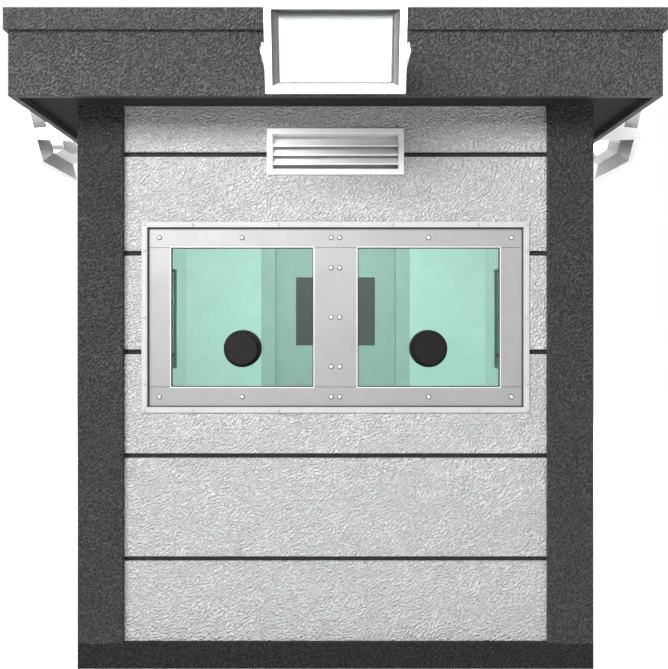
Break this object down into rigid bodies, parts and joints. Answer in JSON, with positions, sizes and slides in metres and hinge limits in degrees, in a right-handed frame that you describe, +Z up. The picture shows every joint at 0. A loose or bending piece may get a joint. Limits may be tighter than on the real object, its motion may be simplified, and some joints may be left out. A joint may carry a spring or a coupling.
{
  "type": "security guard booth",
  "caption": "Square guard booth with rendered walls in dark corner posts, bullet-resistant windows with round ports, a louvred vent, a hinged door and tilting floodlights.",
  "frame": {"origin": "on the ground under the middle of the booth, at the bottom centre of its bounding box", "axes": "+Z up, the long window with the vent over it faces -Y, the door is in the +Y wall, +X is to the right as seen from the front"},
  "size_m": [3.6124, 3.3084, 3.023],
  "materials": {
    "dark_render": "rough painted render, dark grey",
    "wall_core": "dark board",
    "light_render": "rough painted render, light warm grey",
    "lining_paint": "satin",
    "floor_sheet": "matt studded sheet",
    "soffit_paint": "matt",
    "roof_membrane": "matt sheet",
    "clamp_steel": "satin",
    "white_trim": "satin",
    "window_glass": "polished",
    "port_black": "satin",
    "vent_paint": "satin",
    "screen_mesh": "matt, fine mesh",
    "door_paint": "satin",
    "door_pane": "polished",
    "satin_steel": "brushed",
    "yoke_paint": "gloss",
    "lamp_paint": "gloss",
    "lamp_glass": "frosted",
    "lamp_reflector": "satin"
  },
  "bodies": {
    "booth": {"back_cladding": "light_render", "back_lamp_cover": "lamp_glass", "back_lamp_housing": "lamp_paint", "back_lamp_reflector": "lamp_reflector", "back_wall_hinge_side": "wall_core", "back_wall_lock_side": "wall_core", "back_wall_over_door": "wall_core", "base_curb": "dark_render", "ceiling_panel": "lining_paint", "corner_post_back_left": "dark_render", "corner_post_back_right": "dark_render", "corner_post_front_left": "dark_render", "corner_post_front_right": "dark_render", "door_frame": "door_paint", "floor_slab": "floor_sheet", "front_cladding": "light_render", "front_inner_plate": "clamp_steel", "front_wall": "wall_core", "front_window_glass": "window_glass", "front_window_rails": "clamp_steel", "front_window_stiles": "clamp_steel", "front_window_trim": "white_trim", "gun_ports": "port_black", "hinge_frame_halves": "satin_steel", "interior_lining": "lining_paint", "lamp_brackets": "yoke_paint", "left_cladding": "light_render", "left_inner_plate": "clamp_steel", "left_wall": "wall_core", "left_window_glass": "window_glass", "left_window_plate": "clamp_steel", "left_window_trim": "white_trim", "right_cladding": "light_render", "right_inner_plate": "clamp_steel", "right_wall": "wall_core", "right_window_glass": "window_glass", "right_window_plate": "clamp_steel", "right_window_trim": "white_trim", "roof_coping": "dark_render", "roof_deck": "roof_membrane", "roof_fascia": "dark_render", "soffit": "soffit_paint", "vent_blades": "vent_paint", "vent_frame": "vent_paint", "vent_screen": "screen_mesh"},
    "door": {"door_leaf": "door_paint", "door_glass": "door_pane", "door_window_bead": "clamp_steel", "hinge_leaf_halves": "satin_steel", "door_handles": "satin_steel"},
    "front_lamp": {"front_lamp_cover": "lamp_glass", "front_lamp_housing": "lamp_paint", "front_lamp_reflector": "lamp_reflector"},
    "left_lamp": {"left_lamp_cover": "lamp_glass", "left_lamp_housing": "lamp_paint", "left_lamp_reflector": "lamp_reflector"},
    "right_lamp": {"right_lamp_cover": "lamp_glass", "right_lamp_housing": "lamp_paint", "right_lamp_reflector": "lamp_reflector"}
  },
  "joints": [
    {"name": "door_hinge", "type": "hinge", "parent": "booth", "child": "door", "pos_m": [0.46, 1.061, 1.213], "axis": [0, 0, -1], "range_deg": [0, 110]},
    {"name": "front_lamp_tilt", "type": "hinge", "parent": "booth", "child": "front_lamp", "pos_m": [0, -1.59636, 2.72632], "axis": [1, 0, 0], "range_deg": [-60, 75]},
    {"name": "left_lamp_tilt", "type": "hinge", "parent": "booth", "child": "left_lamp", "pos_m": [-1.74836, 0, 2.72632], "axis": [0, -1, 0], "range_deg": [-60, 75]},
    {"name": "right_lamp_tilt", "type": "hinge", "parent": "booth", "child": "right_lamp", "pos_m": [1.74836, 0, 2.72632], "axis": [0, 1, 0], "range_deg": [-60, 75]}
  ]
}
